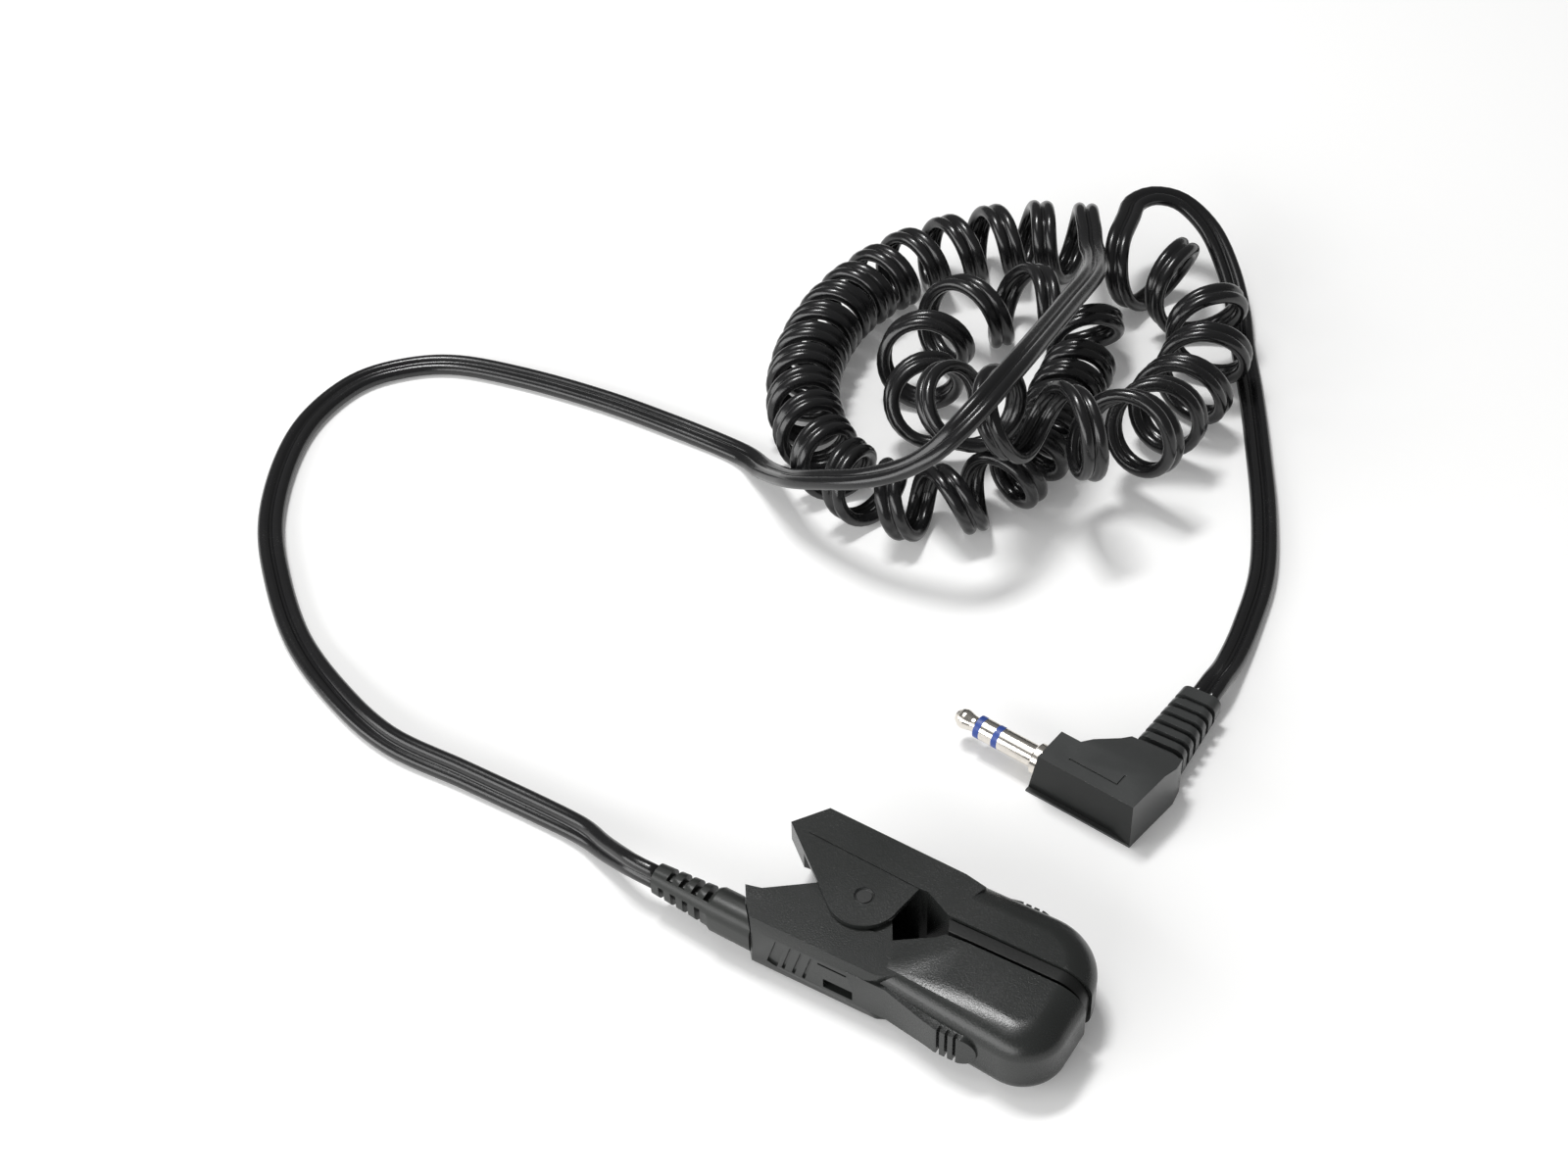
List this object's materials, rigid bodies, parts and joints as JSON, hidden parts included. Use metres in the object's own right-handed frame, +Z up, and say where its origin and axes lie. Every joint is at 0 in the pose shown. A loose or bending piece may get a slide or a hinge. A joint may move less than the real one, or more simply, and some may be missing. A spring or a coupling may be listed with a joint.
{
  "type": "ear clip pulse sensor with curly cord",
  "caption": "Spring-loaded ear clip with optical sensor windows in its jaws, a flat twin cord with a long curly stretch, and a right-angle jack plug.",
  "frame": {"origin": "bottom centre of the clip as it lies on its side, without its cord", "axes": "+X from the handles to the jaw end, +Y across the jaws to the arm without the cord, +Z up along the hinge axis"},
  "size_m": [0.1718, 0.1767, 0.0315],
  "materials": {
    "shell": "fine moulded texture",
    "jaw_plate": "moulded",
    "window": "dark red, lets infrared through",
    "receiver": "dark moulded epoxy",
    "emitter": "clear moulded epoxy",
    "board": "solder resist",
    "pin": "moulded",
    "spring": "spring wire",
    "wire": "thin insulation",
    "strain_relief": "satin moulded",
    "copper": "insulated copper cores",
    "cord": "glossy soft vinyl",
    "plug_body": "satin moulded vinyl",
    "contact": "nickel plated",
    "insulator": "moulded",
    "tag": "tinned"
  },
  "bodies": {
    "lower_arm": {"lower_shell": "shell", "lower_cover": "jaw_plate", "lower_lens": "window", "phototransistor": "receiver", "lower_board": "board", "torsion_spring": "spring", "link_wires": "wire", "clip_boot": "strain_relief", "clip_conductors": "copper", "clip_lead": "cord", "curly_cord": "cord", "plug_lead": "cord", "plug_relief": "plug_body", "plug_body": "plug_body", "plug_sleeve": "contact", "ring_insulator": "insulator", "plug_ring": "contact", "tip_insulator": "insulator", "plug_tip": "contact", "plug_tags": "tag", "tip_rod": "tag", "plug_conductors": "copper"},
    "upper_arm": {"upper_shell": "shell", "upper_cover": "jaw_plate", "upper_lens": "window", "infrared_led": "emitter", "upper_board": "board", "hinge_pin": "pin"}
  },
  "joints": [
    {"name": "jaw_hinge", "type": "hinge", "parent": "lower_arm", "child": "upper_arm", "pos_m": [-0.009, 0.0002, 0.0055], "axis": [0, 0, 1], "range_deg": [0, 28], "stiffness_Nm_per_rad": 0.02, "springref_deg": -34.38, "deforming": ["torsion_spring", "link_wires"]}
  ]
}
